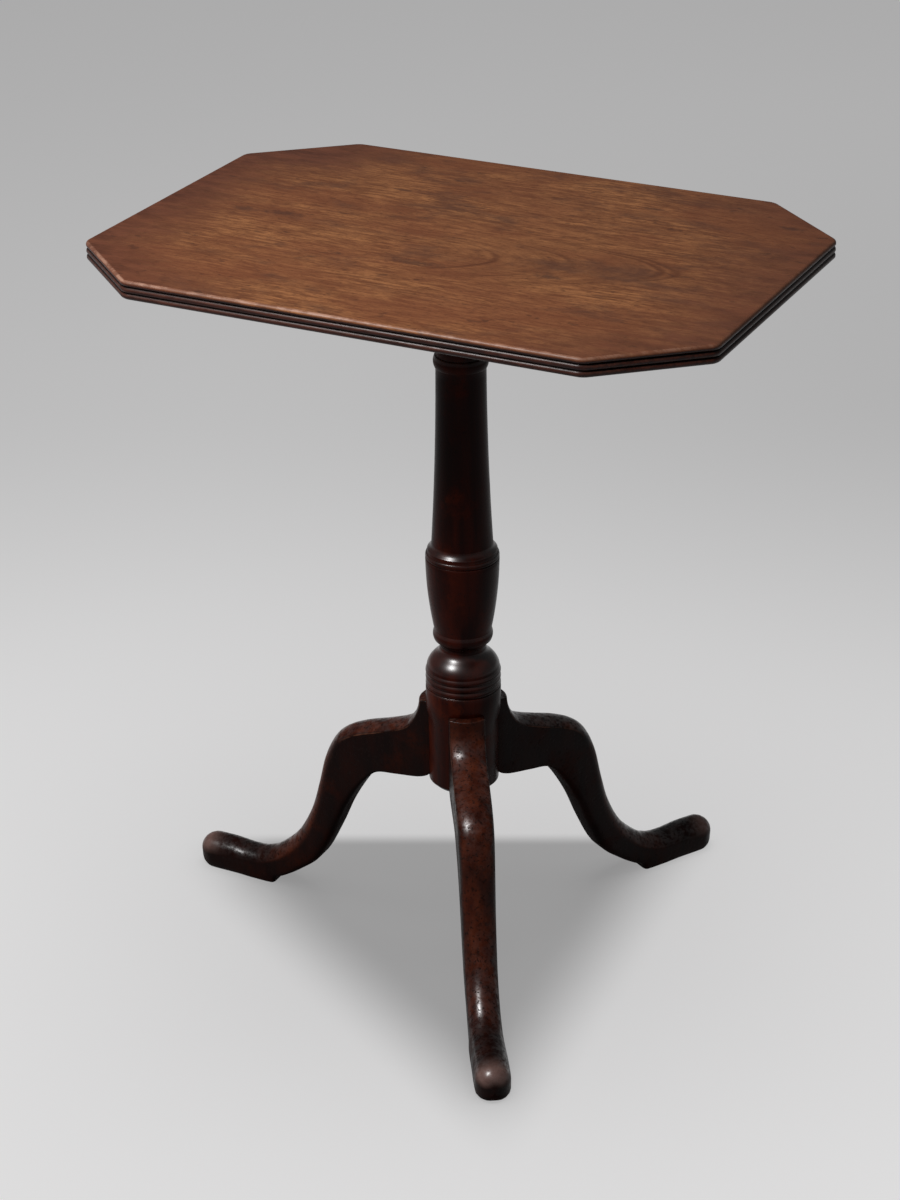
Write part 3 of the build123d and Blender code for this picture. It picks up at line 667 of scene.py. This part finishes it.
    ragged = place.noise(190, 3, 0.6)
    marks = 0
    for mark_x, mark_y, length, width in ink_marks:
        shift = (-mark_x / length, -mark_y / width, 0)
        spread = {"Vector": place, "Location": shift, "Scale": (1 / (length * mm), 1 / (width * mm), 0)}
        spot = place.node("ShaderNodeMapping", {"vector_type": "POINT"}, spread)
        gone = spot.node("ShaderNodeVectorMath", {"operation": "LENGTH"}, {0: spot}, 1)
        marks = (1 - (gone + 1.6 * (ragged - 0.5)).band(0.15, 1.1)) + marks
    marked = (marks * 0.55).mixed(edged, ink_black)
    bruises = place.stretched((0, 0, 0.5), (60, 110, 60)).noise(1, 2, 0.5).band(0.67, 0.75)
    bruised = (bruises * 0.45).mixed(marked, bruise_dark)

    chipped = place.stretched(unturned, (55, 120, 60)).noise(1, 5, 0.68)
    # A pale line along the top arris, strongest along the front: partly worn polish, partly a painted
    # highlight.
    arris = (1 - to_edge.band(1.6 * mm, 3.4 * mm)) * z.band(707.6 * mm, 709 * mm)
    front_wear_and_highlight = 0.15 + (0.85 - 0.45 * x.band(-0.05, 0.25)) * (1 - y.band(-0.21, -0.1))
    arris_wear_and_highlight = arris * (0.22 + 0.66 * chipped.band(0.43, 0.62)) * front_wear_and_highlight
    rubbed = arris_wear_and_highlight.mixed(bruised, arris_pale_and_highlight)

    on_reeds = 1 - z.band(706.4 * mm, 708 * mm)
    above_foot = z - board_foot * mm
    off_quirk = above_foot.math("PINGPONG", above_foot, reed_depth * mm / 2)
    reed_brown = streaks.band(0.35, 0.7).mixed(reed_black, reed_red)
    # Painted shade darkens the quirks between the reeds.
    reeds_and_quirk_shade = off_quirk.band(0.2 * mm, 1.3 * mm).mixed(quirk_shade_black, reed_brown)
    # A painted highlight along the upper side of each reed, stronger along the front and broken where the
    # polish is chipped.
    up_reed = above_foot.math("FRACT", above_foot / (reed_depth * mm), 0)
    on_crest_highlight = up_reed.band(0.5, 0.66) * (1 - up_reed.band(0.78, 0.9))
    crest_wear_and_highlight = on_crest_highlight * (0.3 + 0.7 * chipped.band(0.35, 0.6))
    reeds_with_highlight = (crest_wear_and_highlight * front_wear_and_highlight * 0.3).mixed(reeds_and_quirk_shade, crest_highlight_brown)
    upper = on_reeds.mixed(rubbed, reeds_with_highlight)
    under = 1 - z.band(693.1 * mm, 693.5 * mm)
    bare = streaks.band(0.3, 0.7).mixed(under_dark, under_light)
    colour = under.mixed(upper, bare)

    roughness = 0.38 + 0.16 * clouds + 0.12 * pores.band(0.5, 0.7) - 0.12 * on_reeds + 0.4 * under
    height = pores * 0.6 + clouds * 0.4 - marks * 0.1 - bruises * 0.8 - arris * chipped * 1.5
    polish = 0.08 - 0.05 * on_reeds
    apply_finish(shader, colour, roughness, height, 0.25, 0.3 * mm, polish)
    shader.inputs["Specular IOR Level"].default_value = 0.15
    return finish


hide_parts("table_top")
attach(table_top, "top")
table_top.data.materials.append(polished_mahogany("polished_mahogany"))


# Catch: a brass spring catch under the top, screwed up through its flanges with brass screws, with a
# brass keeper let into the block. The brass has dulled to brown, and a steel leaf spring pushes the bolt.
brass_easing = 0.25
spring_crease = 30


def old_brass(name):
    """Brass gone brown with handling, brighter where fingers rub it."""
    brass_bright, brass_brown = (0.42, 0.255, 0.085, 1), (0.2, 0.115, 0.043, 1)
    finish, shader, place = start_finish(name)
    tarnish = place.noise(120, 5, 0.6)
    scratches = place.stretched((0, 0, 0.4), (60, 900, 300)).noise(1, 3, 0.6)
    colour = tarnish.band(0.32, 0.72).mixed(brass_bright, brass_brown)
    roughness = 0.28 + 0.3 * tarnish.band(0.35, 0.7) + 0.08 * scratches
    apply_finish(shader, colour, roughness, scratches * 0.5 + tarnish * 0.5, 0.25, 0.1 * mm)
    shader.inputs["Metallic"].default_value = 1
    return finish


brass = old_brass("old_brass")
for node, body in (
    ("catch_keeper", "stand"),
    ("catch_plate", "top"),
    ("catch_case", "top"),
    ("catch_bolt", "catch"),
    ("catch_knob", "catch"),
):
    piece = eased_copy(node, "brass_" + node, brass_easing)
    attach(piece, body)
    piece.data.materials.append(brass)
for node in ("keeper_screws", "catch_screws"):
    finish_solid(node, brass)
spring = copy_of("catch_spring", "leaf_spring")
bpy.ops.object.shade_smooth_by_angle(angle=radians(spring_crease))
spring.data.materials.append(steel)
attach(spring, "top")
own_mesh(spring)


# Studio: a plain pale floor that fills the view, with a shade painted into it between the feet. One soft
# lamp to the front lights the table alone, and a wide one overhead lights only the floor and gives it the
# table's shadow.
floor_size = 60
bpy.ops.object.select_all(action="DESELECT")
bpy.ops.mesh.primitive_plane_add(size=floor_size, location=(0, 0, 0))
floor = bpy.context.active_object
floor.name = "studio_floor"

# Edges of the shade painted on the floor between the feet: the way each faces in degrees, its distance and
# its softness. The floor grows darker away from the front, along a line that is given by its parts across
# and away.
shade_edges = ((115.6, 162, 14), (239.3, 148, 55), (3.7, 142, 52), (180, 280, 60))
line_across, line_away = 0.448, 0.894
paper_glow = (1, 0.994, 0.996, 1)
paper_pale, paper_shaded = (0.5, 0.498, 0.499, 1), (0.28, 0.279, 0.28, 1)
paper, paper_shader, paper_place = start_finish("pale_paper")
across, away = paper_place.part(0), paper_place.part(1)
shade = 1
for facing, distance, softness in shade_edges:
    outward = across * cos(radians(facing)) + away * sin(radians(facing))
    shade = (1 - outward.band((distance - softness) * mm, (distance + softness) * mm)) * shade
to_back = away * line_away - across * line_across
to_right = across * line_away + away * line_across
right_fall = to_right.band(-0.5, 0.7) * to_back.band(-0.5, 0.3) * (1 - to_back.band(1, 3))
brightness = 0.305 + 0.2 * (1 - to_back.band(-0.1, 1.4)) - 0.07 * right_fall
seen = sum(
    paper_place.node("ShaderNodeLightPath", {}, {}, ray)
    for ray in ("Is Camera Ray", "Is Glossy Ray", "Is Transmission Ray")
)
glow = (brightness * (1 - 0.45 * shade) * seen).mixed((0, 0, 0, 1), paper_glow)
paper_tone = shade.mixed(paper_pale, paper_shaded)
paper.node_tree.links.new(glow.socket, paper_shader.inputs["Emission Color"])
paper.node_tree.links.new(paper_tone.socket, paper_shader.inputs["Base Color"])
paper_shader.inputs["Emission Strength"].default_value = 1
paper_shader.inputs["Roughness"].default_value = 0.9
paper_shader.inputs["Specular IOR Level"].default_value = 0
floor.data.materials.append(paper)


def soft_lamp(name, place, aim, size, power, link_state):
    """A square soft lamp that lights the floor alone, or all but the floor."""
    bpy.ops.object.select_all(action="DESELECT")
    bpy.ops.object.light_add(type="AREA", location=place)
    lamp = bpy.context.active_object
    lamp.name = name
    lamp.data.size = size
    lamp.data.energy = power
    lamp.rotation_euler = (Vector(aim) - lamp.location).to_track_quat("-Z", "Y").to_euler()
    lit = bpy.data.collections.new(name + "_lights")
    lit.objects.link(floor)
    lit.collection_objects[0].light_linking.link_state = link_state
    lamp.light_linking.receiver_collection = lit


soft_lamp("front_softbox", (-0.7, -1.35, 2.25), aim=(0, 0, 0.45), size=0.5, power=70, link_state="EXCLUDE")
soft_lamp("overhead_panel", (0.05, 0.1, 2.7), aim=(0, 0, 0), size=2.2, power=32, link_state="INCLUDE")

world = bpy.data.worlds.new("studio_light")
world.use_nodes = True
bpy.context.scene.world = world
backdrop = world.node_tree.nodes["Background"]
backdrop.inputs["Color"].default_value = (0.55, 0.55, 0.555, 1)
backdrop.inputs["Strength"].default_value = 0.28


# Camera: where the photograph was taken from, found from the corners of the top, the column and the
# feet. It looks down on the table from its front right, with a long lens.
camera_turn = radians(26.63)
camera_rise = radians(26.21)
camera_roll = radians(-0.56)
camera_distance = 2.66492
camera_aim = Vector((0, 0, 0.35))
camera_shift = (-0.01193, 0.00627)
camera_lens, camera_height = 85.48, 36
back = Vector((sin(camera_turn) * cos(camera_rise), -cos(camera_turn) * cos(camera_rise), sin(camera_rise)))
sideways = Vector((cos(camera_turn), sin(camera_turn), 0))
upright = back.cross(sideways)
right = cos(camera_roll) * sideways + sin(camera_roll) * upright
up = cos(camera_roll) * upright - sin(camera_roll) * sideways
bpy.ops.object.camera_add()
camera = bpy.context.active_object
camera.location = camera_aim + back * camera_distance + right * camera_shift[0] + up * camera_shift[1]
camera.rotation_euler = Matrix((right, up, back)).transposed().to_euler()
camera.data.sensor_fit = "VERTICAL"
camera.data.sensor_height = camera_height
camera.data.lens = camera_lens
bpy.context.scene.camera = camera
bpy.context.scene.view_settings.view_transform = "Standard"
